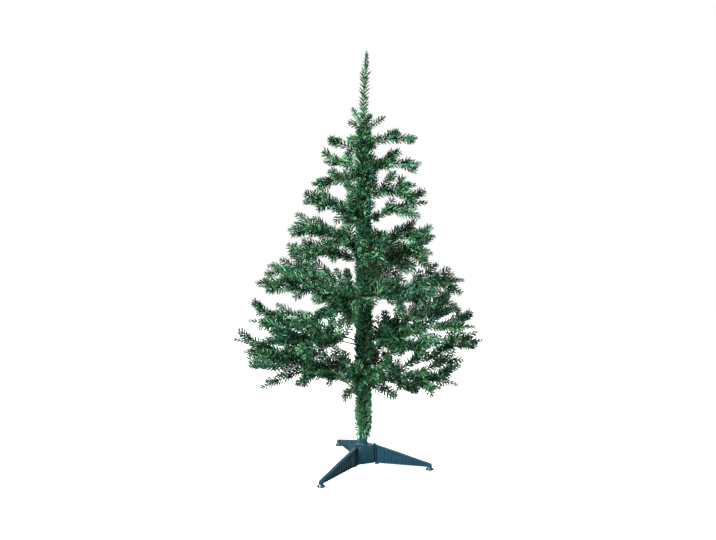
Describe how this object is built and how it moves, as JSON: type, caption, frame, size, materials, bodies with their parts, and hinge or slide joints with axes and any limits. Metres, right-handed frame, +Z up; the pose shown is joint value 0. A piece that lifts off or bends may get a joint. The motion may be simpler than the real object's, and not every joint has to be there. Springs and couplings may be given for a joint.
{
  "type": "artificial christmas tree",
  "caption": "Artificial Christmas tree: wire boughs of green needle garland in tiers round a steel pole, which stands in a moulded plastic base with splayed legs.",
  "frame": {"origin": "on the floor, on the axis of the pole, under the middle of the crown", "axes": "+Z up along the pole, +Y away from the picture's camera, +X to its right"},
  "size_m": [0.7291, 0.656, 1.2],
  "materials": {
    "needles": "satin cut foil, several greens",
    "bough_wire": "matt",
    "pole": "satin",
    "stand_plastic": "satin, moulded"
  },
  "bodies": {
    "root": {"bough_low_back": "bough_wire", "bough_low_back_left": "bough_wire", "bough_low_front": "bough_wire", "bough_low_front_left": "bough_wire", "bough_low_front_right": "bough_wire", "bough_low_left": "bough_wire", "bough_low_right": "bough_wire", "bough_second_back_left": "bough_wire", "bough_second_back_right": "bough_wire", "bough_second_front_left": "bough_wire", "bough_second_front_right": "bough_wire", "bough_second_left": "bough_wire", "bough_second_right": "bough_wire", "foliage_crown_back": "needles", "foliage_crown_back_left": "needles", "foliage_crown_front": "needles", "foliage_crown_left": "needles", "foliage_crown_right": "needles", "foliage_high_back_left": "needles", "foliage_high_front": "needles", "foliage_high_front_right": "needles", "foliage_high_left": "needles", "foliage_high_right": "needles", "foliage_leader": "needles", "foliage_low_back": "needles", "foliage_low_back_left": "needles", "foliage_low_front": "needles", "foliage_low_front_left": "needles", "foliage_low_front_right": "needles", "foliage_low_left": "needles", "foliage_low_right": "needles", "foliage_middle_back_left": "needles", "foliage_middle_back_right": "needles", "foliage_middle_front": "needles", "foliage_middle_front_right": "needles", "foliage_middle_left": "needles", "foliage_middle_right": "needles", "foliage_second_back_left": "needles", "foliage_second_back_right": "needles", "foliage_second_front_left": "needles", "foliage_second_front_right": "needles", "foliage_second_left": "needles", "foliage_second_right": "needles", "foliage_top_back": "needles", "foliage_top_front": "needles", "foliage_top_left": "needles", "foliage_top_right": "needles", "foliage_upper_back_left": "needles", "foliage_upper_back_right": "needles", "foliage_upper_front": "needles", "foliage_upper_front_left": "needles", "foliage_upper_front_right": "needles", "foliage_upper_left": "needles", "foliage_upper_right": "needles", "stand_hub": "stand_plastic", "stand_leg_1": "stand_plastic", "stand_leg_2": "stand_plastic", "stand_leg_3": "stand_plastic", "trunk_pole": "pole", "trunk_wrap": "needles"}
  },
  "joints": []
}
